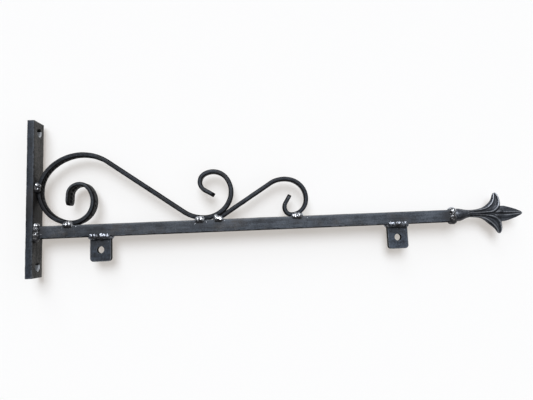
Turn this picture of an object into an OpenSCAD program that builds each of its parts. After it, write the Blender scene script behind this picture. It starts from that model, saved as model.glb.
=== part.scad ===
// Hanging sign bracket: a drilled wall plate, a square arm with two sign lugs and a forged
// finial, and two flat-bar scrolls that brace the arm, all joined by weld beads.
// X runs out from the wall along the arm, Z is up, and the origin lies on the wall,
// midway between the two screw holes.

/* [Wall plate] */
// Width of the wall plate, along the wall
plate_w = 25; // [22:1:40]
// Thickness of the wall plate
plate_t = 9.5; // [6:0.5:14]
// Height of the wall plate
plate_h = 200; // [190:5:300]
// Diameter of the two screw holes
screw_hole_d = 11; // [6:0.5:13]
// Distance from each end of the plate to its screw hole's centre
screw_inset = 14; // [12:1:24]

/* [Arm] */
// Side of the square bar that the arm is cut from
arm = 16; // [14:0.5:20]
// Length of the arm, from the plate's face to the finial's joint
arm_l = 531.5; // [500:5:700]
// Height of the arm's axis below the middle of the plate
arm_drop = 43.4; // [30:1:60]
// Rounding along the edges of the plate, the arm and the lugs
edge = 1; // [0.5:0.25:2]

/* [Sign lugs] */
// Width of a lug, along the arm
lug_w = 26.5; // [20:0.5:40]
// Thickness of a lug
lug_t = 6; // [4:0.5:8]
// Height of a lug below the arm
lug_h = 31.3; // [26:0.5:45]
// Diameter of the hole in a lug
lug_hole_d = 9.5; // [6:0.5:14]
// Distance from the arm's underside to the centre of a lug's hole
lug_hole_drop = 16.5; // [14:0.5:19]
// Distance from the plate's face to the centre of the first lug
lug_start = 79; // [50:1:120]
// Distance between the centres of the two lugs
lug_pitch = 380; // [330:5:400]
// Rounding of a lug's lower corners
lug_corner = 2.5; // [1:0.5:6]

/* [Scroll bar] */
// Width of the flat bars, across the arm
bar_w = 10; // [8:0.5:12]
// Thickness of the long scroll's bar
bar_t = 5.4; // [4:0.2:6]
// Thickness of the short scroll's bar
short_bar_t = 4.8; // [4:0.2:6]
// Thickness of the beaten end of the big curl
big_tip_t = 3.8; // [2.6:0.2:5]
// Width of the beaten end of the big curl
big_tip_w = 20.6; // [12:0.2:24]
// Thickness of the beaten ends of the two small curls
small_tip_t = 3.8; // [2.6:0.2:5]
// Width of the beaten ends of the two small curls
small_tip_w = 14.2; // [10:0.2:18]
// Slope of both scrolls' straight legs to the arm
leg_slope = 35.4; // [32:0.2:38]
// Slope of the short scroll's leg to the arm
short_slope = 32.4; // [30:0.2:35]

/* [Long scroll] */
// Centreline radius of the big curl, from the arm round to past the plate
big_r = 41.3; // [38:0.5:46]
// Turn of the big curl, from the arm
big_turn = 132; // [125:1:140]
// Centreline radius of the broad top of the big curl
crown_r = 56; // [52:0.5:62]
// Radius of the spiral inside the big curl, where it leaves the arm
spiral_r = 26.2; // [24:0.2:28]
// Turn of the spiral where it leaves the arm
spiral_turn = 72; // [65:1:80]
// Radius of the spiral's side
spiral_side_r = 27.5; // [25:0.5:30]
// Turn of the spiral's side
spiral_side_turn = 57; // [50:1:62]
// Radius of the spiral's eye
eye_r = 13.6; // [12:0.2:15]
// Turn of the spiral's eye
eye_turn = 138; // [125:1:145]
// Straight end of the spiral
eye_tail = 13.6; // [10:0.5:16]
// Radius of the bend where the leg comes down to the arm
bend_r = 46; // [40:1:60]
// Radius of the middle curl where it leaves the arm
mid_r = 35; // [33:0.2:38]
// Turn of the middle curl where it leaves the arm
mid_turn = 65; // [60:1:70]
// Radius of the middle curl's side
mid_side_r = 30.3; // [28:0.2:33]
// Turn of the middle curl's side
mid_side_turn = 60; // [50:1:70]
// Radius of the middle curl's top
mid_top_r = 21.4; // [20:0.2:23]
// Turn of the middle curl's top
mid_top_turn = 86; // [80:1:95]
// Radius of the middle curl's eye
mid_eye_r = 12.1; // [11:0.2:13]
// Turn of the middle curl's eye
mid_eye_turn = 118; // [110:1:125]
// Straight end of the middle curl
mid_tail = 14; // [10:0.5:18]

/* [Short scroll] */
// Gap between the short scroll's leg and the middle curl above it
foot_gap = 0.1; // [0.1:0.1:3]
// Radius of the end curl where it leaves the arm
end_r = 19.9; // [19:0.2:22]
// Turn of the end curl where it leaves the arm
end_turn = 82.5; // [75:0.5:90]
// Radius of the end curl's shoulder
end_side_r = 25.7; // [24:0.2:28]
// Turn of the end curl's shoulder
end_side_turn = 78; // [70:1:85]
// Radius of the end curl's broad top
end_top_r = 33.3; // [30:0.5:38]
// Radius of the tight bend under the end curl
hook_r = 8; // [6:0.2:9]
// Turn of the tight bend under the end curl
hook_turn = 57; // [50:1:65]
// Radius of the end curl's last bend
hook_side_r = 11.3; // [10:0.2:13]
// Turn of the end curl's last bend
hook_side_turn = 65; // [60:1:75]
// Straight end of the end curl
hook_tail = 11; // [8:0.5:15]

/* [Finial] */
// Length of the finial's round base
base_l = 12.5; // [9:0.5:16]
// Distance from the finial's joint to where its leaves begin
leaf_start = 28; // [24:1:34]
// Distance from the finial's joint to the tips of its leaves
leaf_reach = 63; // [56:1:72]
// Length of the blade past the tips of the leaves
blade_l = 33.5; // [24:0.5:50]
// Height of the finial's round base above the arm's axis
base_rise = 0.6; // [0:0.2:1]
// Largest diameter of the finial's round base
finial_base_d = 16.6; // [14:0.2:20]
// Diameter of the finial's neck
neck_d = 9.2; // [6:0.2:11]
// Distance between the tips of the two leaves
leaf_span = 52; // [40:1:64]
// Thickness of the leaves
leaf_t = 5; // [4:0.5:8]
// Width of the blade
blade_w = 18.2; // [12:0.2:22]
// Thickness of the blade along its middle
blade_t = 8; // [6:0.5:10]
// Height of the finial's leaves and blade above the arm's axis
finial_rise = 1; // [0:0.2:2]

/* [Weld beads] */
// Radius of the beads in front, along the scrolls
bead_r = 4.4; // [3.4:0.2:5]
// Radius of the beads behind, along the scrolls and the arm
back_bead_r = 3.4; // [2.6:0.2:4]
// Radius of the bead in the corner of the arm and the plate
corner_bead_r = 4.6; // [4:0.2:5]
// Radius of the bead round each lug
lug_bead_r = 4.9; // [4:0.1:5.2]
// Radius of the bead round the finial's joint
ring_r = 4.6; // [3.6:0.2:5.4]
// How far the bead round the finial's joint stands out of the arm
ring_proud = 2.8; // [1.4:0.2:3.4]

/* [Hidden] */

$fn = 48;
steel = [0.24, 0.26, 0.29];
bare_steel = [0.70, 0.71, 0.73];

// Distance between the rings of a swept bar
ring_step = 3;
// Distance over which the big curl's bar is beaten thin towards its end
big_taper = 96;
// Distance over which that end is spread wide
big_spread = 130;
// Length of the big curl's end that is beaten flat
big_flat = 8;
// Rounding of the corners of the big curl's end
big_corner = 5;
// Length of the beads beside the scrolls
bead_l = 13;
// How far the bead in front of the plate runs past the arm's edges
corner_bead_past = 4.5;
// How far the beads' middles stand off the sides of a lug
lug_bead_off = 1.4;
// Size of the blocks of room that the beads are cut back to
room = 80;
// Distance over which the small curls' bars are beaten towards their ends
small_taper = 90;
// Extra length of the cutters past the faces that they cut
over = 1;

arm_z = -arm_drop;
arm_top = arm_z + arm / 2;
arm_low = arm_z - arm / 2;
arm_end = plate_t + arm_l;
screw_z = plate_h / 2 - screw_inset;
first_lug_x = plate_t + lug_start;

// A place on a scroll's centreline is [x, z, heading], with the heading in degrees from +X.
// A step is [radius, turn], with a left turn positive, or [0, length] for a straight.
function step_length(s) = s[0] == 0 ? s[1] : s[0] * abs(s[1]) * PI / 180;
function forward(p, d) = [p[0] + d * cos(p[2]), p[1] + d * sin(p[2]), p[2]];
function turned(p, r, a) = [
    p[0] + sign(a) * r * (sin(p[2] + a) - sin(p[2])),
    p[1] - sign(a) * r * (cos(p[2] + a) - cos(p[2])),
    p[2] + a
];
function moved(p, s, d) = s[0] == 0 ? forward(p, d) : turned(p, s[0], sign(s[1]) * d / s[0] * 180 / PI);
function along(p, steps, d, i = 0) =
    let (l = step_length(steps[i]))
    d <= l || i == len(steps) - 1 ? moved(p, steps[i], d) : along(moved(p, steps[i], l), steps, d - l, i + 1);
function total(steps, i = 0) = i == len(steps) ? 0 : step_length(steps[i]) + total(steps, i + 1);
function reversed(p) = [p[0], p[1], p[2] + 180];
function part_way(d, length) = min(1, max(0, d / length));

// A beaten end thins and spreads the bar; d is the distance to the end
function big_end_t(d) = big_tip_t + (bar_t - big_tip_t) * part_way(d - big_flat, big_taper);
function big_end_w(d) = bar_w + (big_tip_w - bar_w) * (1 - part_way(d - big_flat, big_spread));
function small_end_t(d, full_t) = small_tip_t + (full_t - small_tip_t) * part_way(d, small_taper);
function small_end_w(d) = bar_w + (small_tip_w - bar_w) * pow(1 - part_way(d, small_taper), 2.5);
// Width that a corner of radius r takes off the end of a bar
function rounded_off(d, r) = 2 * (d < r ? r - sqrt(r * r - (r - d) * (r - d)) : 0);

// The eight corners of a bar's section: across the bar's thickness, then across its width
function section(t, w) =
    let (c = min(edge, t / 3), a = t / 2, b = w / 2)
    [[a, b - c], [a - c, b], [c - a, b], [-a, b - c], [-a, c - b], [c - a, -b], [a - c, -b], [a, c - b]];
function ring(p, t, w) = [
    for (q = section(t, w)) [p[0] - q[0] * sin(p[2]), q[1], p[1] + q[0] * cos(p[2])]
];
// A ring slid along the bar until it lies on the arm's top
function mitred(p, t, w) = [
    for (q = ring(p, t, w)) [q[0] + (arm_top - q[2]) / tan(p[2]), q[1], arm_top]
];

// Solid bar through a list of rings of eight points
module swept(rings) {
    n = len(rings);
    polyhedron(
        points = [for (r = rings) each r],
        faces = concat(
            [[for (k = [7:-1:0]) k], [for (k = [0:7]) (n - 1) * 8 + k]],
            [for (i = [0:n - 2], k = [0:7]) [i * 8 + k, i * 8 + (k + 1) % 8, (i + 1) * 8 + (k + 1) % 8]],
            [for (i = [0:n - 2], k = [0:7]) [i * 8 + k, (i + 1) * 8 + (k + 1) % 8, (i + 1) * 8 + k]]
        )
    );
}

// Long scroll: its centreline runs both ways from where the big curl stands on the arm
spiral_steps = [
    [spiral_r, spiral_turn], [spiral_side_r, spiral_side_turn], [eye_r, eye_turn], [0, eye_tail]
];
spiral_l = total(spiral_steps);
contact_t = big_end_t(spiral_l);
big_contact = [plate_t + bar_t / 2 + big_r, arm_top + contact_t / 2, 180];
crown_steps = [[big_r, -big_turn], [crown_r, big_turn - 180 - leg_slope]];
leg_top = along(big_contact, crown_steps, total(crown_steps));
leg_drop = leg_top[1] - arm_top - bar_t / 2 - bend_r * (1 - cos(leg_slope));
leg_l = leg_drop / sin(leg_slope);
mid_steps = [
    [mid_r, mid_turn], [mid_side_r, mid_side_turn], [mid_top_r, mid_top_turn],
    [mid_eye_r, mid_eye_turn], [0, mid_tail]
];
long_steps = concat(crown_steps, [[0, leg_l], [bend_r, leg_slope]], mid_steps);
long_l = total(long_steps);
mid_x = along(big_contact, long_steps, long_l - total(mid_steps))[0];
function long_place(d) =
    d < 0 ? reversed(along([big_contact[0], big_contact[1], 0], spiral_steps, -d))
          : along(big_contact, long_steps, d);
function long_t(d) = min(big_end_t(spiral_l + d), small_end_t(long_l - d, bar_t));
function long_w(d) = max(big_end_w(spiral_l + d), small_end_w(long_l - d));

// Short scroll: its leg runs down to the arm close under the middle curl
end_steps = [
    [end_r, end_turn], [end_side_r, end_side_turn],
    [end_top_r, 180 + short_slope - end_turn - end_side_turn]
];
short_rise = arm_top + short_bar_t / 2;
shoulder = along([0, short_rise, 0], end_steps, total(end_steps));
leg_reach = mid_r + bar_t / 2 + foot_gap + short_bar_t / 2;
leg_offset = (arm_top + bar_t / 2 + mid_r) * cos(short_slope) - mid_x * sin(short_slope) - leg_reach;
end_x = (shoulder[1] * cos(short_slope) - leg_offset) / sin(short_slope) - shoulder[0];
short_leg_l = (shoulder[1] - arm_top) / sin(short_slope);
short_steps = concat(end_steps, [[0, short_leg_l]]);
short_l = total(short_steps);
hook_steps = [[hook_r, -hook_turn], [hook_side_r, -hook_side_turn], [0, hook_tail]];
hook_l = total(hook_steps);
function short_place(d) =
    d < 0 ? reversed(along([end_x, short_rise, 180], hook_steps, -d))
          : along([end_x, short_rise, 0], short_steps, d);

// Places of the rings: close together over the rounded ends, then evenly spaced
function end_places(r) = [for (k = [0:3]) r * (1 - cos(k * 30))];
function evenly(from, to) =
    let (n = ceil((to - from) / ring_step))
    [for (k = [1:n - 1]) from + (to - from) * k / n];

module long_scroll() {
    places = concat(
        [for (d = end_places(big_corner)) d - spiral_l],
        evenly(big_corner - spiral_l, 0), [0], evenly(0, long_l - small_tip_t),
        [for (k = [3:-1:0]) long_l - end_places(small_tip_t)[k]]
    );
    color(steel) swept([
        for (d = places)
        let (cut = rounded_off(spiral_l + d + 0.2, big_corner) + rounded_off(long_l - d + 0.2, small_tip_t))
        ring(long_place(d), long_t(d), long_w(d) - cut)
    ]);
}

module short_scroll() {
    mitre = short_bar_t / tan(short_slope);
    places = concat(
        [for (d = end_places(small_tip_t)) d - hook_l],
        evenly(small_tip_t - hook_l, 0), [0], evenly(0, short_l - mitre)
    );
    color(steel) swept(concat(
        [
            for (d = places)
            let (cut = rounded_off(hook_l + d + 0.2, small_tip_t))
            ring(short_place(d), small_end_t(hook_l + d, short_bar_t), small_end_w(hook_l + d) - cut)
        ],
        [mitred(short_place(short_l), short_bar_t, bar_w)]
    ));
}

module rounded_rect(w, h, r) {
    square([w - 2 * r, h], center = true);
    square([w, h - 2 * r], center = true);
    for (x = [-1, 1], y = [-1, 1]) translate([x * (w / 2 - r), y * (h / 2 - r)]) circle(r);
}

module wall_plate() {
    color(steel) difference() {
        translate([plate_t / 2, 0, 0]) intersection() {
            translate([0, 0, -plate_h / 2]) linear_extrude(plate_h) rounded_rect(plate_t, plate_w, edge);
            rotate([90, 0, 0]) translate([0, 0, -plate_w / 2]) linear_extrude(plate_w)
                rounded_rect(plate_t, plate_h, edge);
        }
        for (side = [-1, 1]) translate([-over, 0, side * screw_z]) rotate([0, 90, 0])
            cylinder(h = plate_t + 2 * over, d = screw_hole_d);
    }
}

module arm_shape() {
    translate([plate_t, 0, arm_z]) rotate([90, 0, 90]) linear_extrude(arm_l) rounded_rect(arm, arm, edge);
}

module arm_bar() {
    color(steel) arm_shape();
}

// A lug's outline stands square at its top, where it meets the arm
module lug_shape() {
    rotate([90, 0, 0]) translate([0, 0, -lug_t / 2]) linear_extrude(lug_t) {
        translate([-lug_w / 2, lug_corner - lug_h]) square([lug_w, lug_h - lug_corner]);
        translate([lug_corner - lug_w / 2, -lug_h]) square([lug_w - 2 * lug_corner, lug_corner + over]);
        for (side = [-1, 1]) translate([side * (lug_w / 2 - lug_corner), lug_corner - lug_h]) circle(lug_corner);
    }
}

module lug(x) {
    color(steel) translate([x, 0, arm_low]) difference() {
        lug_shape();
        translate([0, 0, -lug_hole_drop]) rotate([90, 0, 0])
            cylinder(h = lug_t + 2 * over, d = lug_hole_d, center = true);
    }
}

module inner_lug() { lug(first_lug_x); }
module outer_lug() { lug(first_lug_x + lug_pitch); }

// Finial: a round base that narrows to a neck, two curled leaves and a pointed blade

// Rounding of the leaves' tips
leaf_tip_r = 1.4;
// How far the leaves' inner edges lie past their tips, at the blade
leaf_bulge = 3.6;
// Distance from the leaves' tips to the widest part of the blade
blade_belly = 10;
finial_l = leaf_reach + blade_l;

function mixed(a, b, f) = a + (b - a) * f;
// A smooth step from 0 to 1
function eased(f) = (1 - cos(180 * f)) / 2;

module finial_base() {
    base = [for (k = [0:8]) [base_l * k / 8, mixed(finial_base_d / 2 - 1.5, finial_base_d / 2, sin(k * 11.25))]];
    waist = [for (k = [1:12]) [mixed(base_l, leaf_start, k / 12), mixed(finial_base_d, neck_d, eased(k / 12)) / 2]];
    rotate([0, 90, 0]) rotate_extrude() polygon(concat(
        [[0, 0]], [for (p = concat(base, waist)) [p[1], p[0]]], [[neck_d / 2, leaf_start + 2], [0, leaf_start + 2]]
    ));
}

// The upper leaf: its outer edge sweeps up to the rounded tip, its inner edge comes back to the blade
module leaf_outline() {
    top = leaf_span / 2 - leaf_tip_r;
    rise = top - neck_d / 2;
    run = leaf_reach - leaf_tip_r - leaf_start;
    outer = [for (k = [0:12]) [leaf_start + run * sin(k * 7.5), neck_d / 2 + rise * (1 - cos(k * 7.5))]];
    inner = [for (k = [0:10]) [
        leaf_reach + leaf_tip_r + (leaf_bulge - leaf_tip_r) * sin(k * 11), mixed(top, blade_w / 4, k / 10)
    ]];
    polygon(concat([[leaf_start, 0]], outer, inner, [[leaf_reach, 0]]));
    translate([leaf_reach, top]) circle(leaf_tip_r);
}

module blade_outline() {
    belly_x = leaf_reach + blade_belly;
    root = [[leaf_reach - 3, 0.3 * blade_w], [leaf_reach + leaf_bulge, 0.45 * blade_w]];
    upper = concat(root, [for (k = [0:12]) [mixed(belly_x, finial_l, k / 12), blade_w / 2 * cos(k * 7.5)]]);
    n = len(upper) - 1;
    polygon(concat(upper, [for (k = [n - 1:-1:0]) [upper[k][0], -upper[k][1]]]));
}

module finial_shape() {
    translate([0, 0, base_rise - finial_rise]) finial_base();
    rotate([90, 0, 0]) translate([0, 0, -leaf_t / 2]) linear_extrude(leaf_t) {
        leaf_outline();
        mirror([0, 1]) leaf_outline();
    }
    intersection() {
        rotate([90, 0, 0]) translate([0, 0, -blade_t / 2]) linear_extrude(blade_t) blade_outline();
        translate([leaf_start, 0, 0]) rotate([90, 0, 90]) linear_extrude(finial_l) polygon([
            [blade_t / 2, 0], [1, blade_w * 0.55], [-1, blade_w * 0.55],
            [-blade_t / 2, 0], [-1, -blade_w * 0.55], [1, -blade_w * 0.55]
        ]);
    }
}

module finial() {
    color(steel) translate([arm_end, 0, arm_z + finial_rise]) finial_shape();
}

// A lumpy row of weld between two points
module bead_row(from, to, r) {
    n = max(1, round(norm(to - from) / (r * 0.8)));
    for (k = [0:n]) translate(from + (to - from) * k / n) sphere(r * (1 + 0.1 * sin(k * 140)));
}

// A bead's radius: side is -1 in front of the bracket and 1 behind it
function side_r(side, front_r) = side < 0 ? front_r : back_bead_r;

// Room for the scroll's bar, of width w, that a bead stops against
module bar_room(x, z, w) {
    translate([x, 0, z]) cube([room, w, room], center = true);
}

// Room for the plate that a bead stops against
module wall_room() {
    translate([0, -room / 2, -plate_h / 2]) cube([plate_t, room, plate_h]);
}

// Bead on the arm's top beside a scroll, spilling over the arm's edge
module top_bead(x, length, side, w) {
    r = side_r(side, bead_r);
    y = side * max(w / 2, arm / 2 - r * 0.4);
    half = length / 2 - r;
    color(bare_steel) difference() {
        bead_row([x - half, y, arm_top], [x + half, y, arm_top], r);
        bar_room(x, arm_top, w);
        arm_shape();
    }
}

// Places of the beads: their middles, measured from where each curl stands
big_bead_x = big_contact[0] - 4;
mid_bead_x = mid_x - 6;
foot_bead_x = mid_x + leg_reach * sin(short_slope) - 4;
end_bead_x = end_x + 7.5;
side_bead_z = big_contact[1] + big_r + 4.5;

module big_curl_weld(side) { top_bead(big_bead_x, bead_l, side, big_end_w(spiral_l)); }
module mid_curl_weld(side) { top_bead(mid_bead_x, bead_l, side, bar_w); }
module foot_weld(side) { top_bead(foot_bead_x, bead_l, side, bar_w); }
module end_curl_weld(side) { top_bead(end_bead_x, bead_l + 1, side, small_end_w(hook_l)); }

// Bead up the plate's face beside the big curl
module plate_scroll_weld(side) {
    r = side_r(side, bead_r);
    place = [plate_t + r * 0.3, side * (bar_w / 2 + r * 0.4), side_bead_z];
    half = bead_l / 2 - r;
    color(bare_steel) difference() {
        bead_row(place - [0, 0, half], place + [0, 0, half], r);
        bar_room(plate_t, side_bead_z, bar_w);
        wall_room();
    }
}

// Bead up the corner between the arm's side and the plate's face
module arm_weld(side) {
    r = side_r(side, corner_bead_r);
    half = side < 0 ? arm / 2 + corner_bead_past - r : arm / 2 - r;
    place = [plate_t + r * 0.25, side * arm / 2, arm_z];
    color(bare_steel) difference() {
        bead_row(place - [0, 0, half], place + [0, 0, half], r);
        wall_room();
        arm_shape();
    }
}

// Bead all round a lug, under the arm
module lug_weld(x) {
    rise = lug_bead_r * 0.16;
    half = lug_w / 2 + 1.2 - lug_bead_r * 0.9;
    color(bare_steel) difference() {
        for (side = [-1, 1]) {
            y = side * (lug_t / 2 + lug_bead_off);
            bead_row([x - half, y, arm_low + rise], [x + half, y, arm_low + rise], lug_bead_r);
            translate([x + side * (lug_w / 2 + 0.2), 0, arm_low + rise]) sphere(lug_bead_r * 0.65);
        }
        translate([x, 0, arm_low]) lug_shape();
        arm_shape();
    }
}

module inner_lug_weld() { lug_weld(first_lug_x); }
module outer_lug_weld() { lug_weld(first_lug_x + lug_pitch); }

// Bead round the joint of the arm and the finial: full in front, and fading out above and below
module finial_weld_front() {
    c = arm / 2 + ring_proud - ring_r;
    color(bare_steel) difference() {
        translate([arm_end, 0, arm_z]) {
            bead_row([0, -c, -c], [0, -c, c], ring_r);
            for (side = [-1, 1]) bead_row([0, -1, side * c], [0, -c, side * c], ring_r);
        }
        joint_room();
    }
}

// Thin bead up the back of the same joint
module finial_weld_back() {
    c = arm / 2 + ring_proud / 2 - back_bead_r;
    color(bare_steel) difference() {
        translate([arm_end, c, arm_z]) cylinder(h = arm - 2, r = back_bead_r, center = true);
        joint_room();
    }
}

// Room for the arm's end and the finial's base that a bead stops against
module joint_room() {
    arm_shape();
    translate([arm_end, 0, arm_z + base_rise]) finial_base();
}

wall_plate();
arm_bar();
long_scroll();
short_scroll();
inner_lug();
outer_lug();
finial();
plate_scroll_weld(-1);  // plate_scroll_weld_front
plate_scroll_weld(1);  // plate_scroll_weld_back
arm_weld(-1);  // arm_weld_front
arm_weld(1);  // arm_weld_back
big_curl_weld(-1);  // big_curl_weld_front
big_curl_weld(1);  // big_curl_weld_back
mid_curl_weld(-1);  // mid_curl_weld_front
mid_curl_weld(1);  // mid_curl_weld_back
foot_weld(-1);  // foot_weld_front
foot_weld(1);  // foot_weld_back
end_curl_weld(-1);  // end_curl_weld_front
end_curl_weld(1);  // end_curl_weld_back
inner_lug_weld();
outer_lug_weld();
finial_weld_front();
finial_weld_back();
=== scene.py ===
"""Looks of a hanging sign bracket: worn black bars, a cast finial and bright lumpy weld beads."""

import math
import random

import bmesh
import bpy
import numpy as np
from bpy.props import FloatProperty, FloatVectorProperty, IntProperty, PointerProperty
from mathutils import Euler, Matrix, Vector
from mathutils.kdtree import KDTree


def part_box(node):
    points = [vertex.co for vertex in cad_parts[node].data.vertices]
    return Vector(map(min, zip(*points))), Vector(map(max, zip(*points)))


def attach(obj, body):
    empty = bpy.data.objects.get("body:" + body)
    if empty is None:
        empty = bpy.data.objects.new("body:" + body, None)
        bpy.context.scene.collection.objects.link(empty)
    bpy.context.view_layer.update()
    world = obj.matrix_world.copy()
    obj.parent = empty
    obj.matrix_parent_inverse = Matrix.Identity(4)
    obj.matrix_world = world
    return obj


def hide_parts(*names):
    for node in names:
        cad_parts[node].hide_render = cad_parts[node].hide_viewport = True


bl_info = {
    "name": "Hanging Sign Bracket",
    "version": (1, 0, 0),
    "blender": (4, 5, 0),
    "location": "3D View > Sidebar > Bracket",
    "description": "Bars, lugs, scrolls, finial and weld beads of a hanging sign bracket",
    "category": "Add Mesh",
}

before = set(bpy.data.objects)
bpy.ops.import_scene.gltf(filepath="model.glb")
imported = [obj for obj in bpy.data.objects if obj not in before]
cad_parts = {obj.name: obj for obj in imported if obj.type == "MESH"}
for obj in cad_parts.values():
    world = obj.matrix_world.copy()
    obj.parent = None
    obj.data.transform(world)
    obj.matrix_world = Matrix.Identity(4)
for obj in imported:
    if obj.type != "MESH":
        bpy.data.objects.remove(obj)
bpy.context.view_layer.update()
MM = 0.001
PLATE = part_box("wall_plate")
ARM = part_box("arm_bar")
ARM_AXIS = (ARM[0].z + ARM[1].z) / 2
SMOOTH_ANGLE = math.radians(40)
SCREW_RIM = 1.5 * MM
LUG_RIM = 0.12 * MM
# A screw hole's wall gets a painted glint of bright drilled steel where its faces lean between these angles,
# in degrees from facing up towards facing the front; the rest of the wall is painted dark as shade
GLINT_LEAN = (5, 120)


# Sizes and colours to change in the panel


def size_property(name, about, value):
    """A length in millimetres, or several."""
    if isinstance(value, tuple):
        return FloatVectorProperty(name=name, description=about, size=len(value),
                                   default=[v * MM for v in value], unit="LENGTH")
    return FloatProperty(name=name, description=about, default=value * MM, unit="LENGTH")


def shade_property(name, about, value):
    """A colour."""
    return FloatVectorProperty(name=name, description=about, size=3, subtype="COLOR", default=value)


def level_property(name, about, value):
    """A plain number."""
    return FloatProperty(name=name, description=about, default=value)


class BracketSizes(bpy.types.PropertyGroup):
    """Sizes of the bars, their holes and the marks of use on them"""

    rounding: size_property("Rounding", "Rounding along the rolled bars' edges", 1.1)
    step: size_property("Step", "Spacing of the points on the plate and the arm", 2)
    dents: size_property("Dents", "Depth of the dents along the bars' edges", 0.35)
    waviness: size_property("Waviness", "Depth of the slow waves in the rolled faces", 0.16)
    screw_hole: size_property("Screw hole", "Radius of the plate's screw holes", 4.3)
    screw_inset: size_property("Screw inset", "Distance from a plate end to its hole", 14)
    lug_hole: size_property("Lug hole", "Radius of the hole in each lug", 4.5)
    lug_hole_drop: size_property("Lug hole drop", "Depth of a lug's hole below the arm", 16.5)
    lug_corner: size_property("Lug corner", "Rounding of a lug's lower corners", 4.2)


class BracketScrolls(bpy.types.PropertyGroup):
    """Bars of the two scrolls and their beaten ends"""

    bar: size_property("Long bar", "Thickness and width of the long scroll's bar", (5.6, 10))
    short_bar: size_property("Short bar", "Thickness and width of the short bar", (5.0, 10))
    big_end: size_property("Big curl's end", "Thickness and width of its beaten end", (4.2, 20.6))
    small_end: size_property("Small curls' ends", "Thickness and width at their tips", (4.6, 14.2))
    fullness: size_property("Fullness", "Extra thickness of the scale on the bars", 0.3)
    ring_step: size_property("Ring step", "Spacing of the rings along the scrolls", 1.6)
    hammering: size_property("Hammering", "Depth of the hammer marks on beaten ends", 0.3)


class BracketWelds(bpy.types.PropertyGroup):
    """Texture of the weld beads"""

    voxel: size_property("Fineness", "Size of the smallest lumps kept in a bead", 0.32)
    lumpiness: size_property("Lumpiness", "Height of the lumps on a bead", 1.1)
    seed: IntProperty(name="Seed", description="Start of the scatter of the lumps", default=7)


class BracketColours(bpy.types.PropertyGroup):
    """Colours of the steel, the castings and the welds"""

    scale_dark: shade_property("Mill scale, dark", "Darker patches of the arm", (0.012, 0.016, 0.023))
    scale_light: shade_property("Mill scale, light", "Lighter patches of the arm", (0.072, 0.086, 0.110))
    stain: shade_property("Stain", "Faint brown stains on the bars", (0.11, 0.085, 0.06))
    bare: shade_property("Bare steel", "Steel rubbed bright along the edges", (0.26, 0.28, 0.31))
    # The drilled steel colour paints a glint on part of each screw hole's wall
    drilled: shade_property("Drilled steel", "Fresh steel inside the screw holes", (0.86, 0.92, 1.0))
    bead: shade_property("Weld bead", "Bright metal of the beads", (0.66, 0.69, 0.74))
    # The slag colour also paints shade on the parts of a bead that face down
    slag_and_shade: shade_property("Slag", "Dark glassy slag in a bead's hollows", (0.018, 0.018, 0.021))


class BracketStage(bpy.types.PropertyGroup):
    """Camera, lamps and backdrop"""

    camera: FloatVectorProperty(name="Camera", description="Place of the camera",
                                size=3, default=(0.2790, -0.5283, -0.0668), unit="LENGTH")
    turn: FloatVectorProperty(name="Camera turn", description="Pitch, roll and yaw of the camera",
                              size=3, default=(5.835, 2.446, 2.297))
    focal: level_property("Focal length", "Focal length for a 36 mm wide picture", 408.7 / 533 * 36)
    gap: size_property("Gap", "Distance from the plate back to the white surface", 6)
    world: level_property("Room light", "Strength of the even light of the room", 0.12)
    key: level_property("Key", "Strength of the soft window light from above", 2.32)
    side: level_property("Side", "Strength of the broad light from the right", 0.75)
    top: level_property("Top", "Strength of the ceiling light", 0.5)
    back: level_property("Back", "Strength of the light on the bracket's back", 1.9)


# Tools shared by the pieces


def start_clean():
    """Leave edit mode and deselect everything."""
    if bpy.context.object and bpy.context.object.mode != "OBJECT":
        bpy.ops.object.mode_set(mode="OBJECT")
    bpy.ops.object.select_all(action="DESELECT")


def activate(obj):
    """Make obj the only selected object."""
    start_clean()
    obj.select_set(True)
    bpy.context.view_layer.objects.active = obj


def open_mesh(obj, kind="EDGE"):
    """Edit obj with nothing selected, and return its edit mesh."""
    activate(obj)
    bpy.ops.object.mode_set(mode="EDIT")
    bpy.ops.mesh.select_mode(type=kind)
    bpy.ops.mesh.select_all(action="DESELECT")
    return bmesh.from_edit_mesh(obj.data)


def pick(obj, parts, test):
    """Select the parts of the mesh being edited that pass a test."""
    for part in parts:
        part.select_set(bool(test(part)))
    bmesh.update_edit_mesh(obj.data)


def settle(obj):
    """Put an object's place, turn and size into its mesh, so that it sits at the origin."""
    activate(obj)
    bpy.ops.object.transform_apply(location=True, rotation=True, scale=True)


def started(add_primitive, **settings):
    """Add a primitive to shape, with its place, turn and size settled into its mesh."""
    start_clean()
    add_primitive(**settings)
    obj = bpy.context.object
    settle(obj)
    return obj


def join(objects):
    """Join objects into the first."""
    activate(objects[0])
    for obj in objects[1:]:
        obj.select_set(True)
    bpy.ops.object.join()
    return bpy.context.object


def apply(obj, kind, **settings):
    """Add a modifier and apply it."""
    activate(obj)
    modifier = obj.modifiers.new(kind.title(), kind)
    for name, value in settings.items():
        setattr(modifier, name, value)
    bpy.ops.object.modifier_apply(modifier=modifier.name)


def roughen(obj, depth, size, high=0.5, group="", contrast=1.0):
    """Push the surface along its normals by a pattern; with high at 1 it only goes inwards."""
    pattern = bpy.data.textures.new("Roughness", "CLOUDS")
    pattern.noise_scale = size
    pattern.contrast = contrast
    apply(obj, "DISPLACE", texture=pattern, strength=depth, mid_level=high,
          texture_coords="LOCAL", vertex_group=group)


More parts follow.
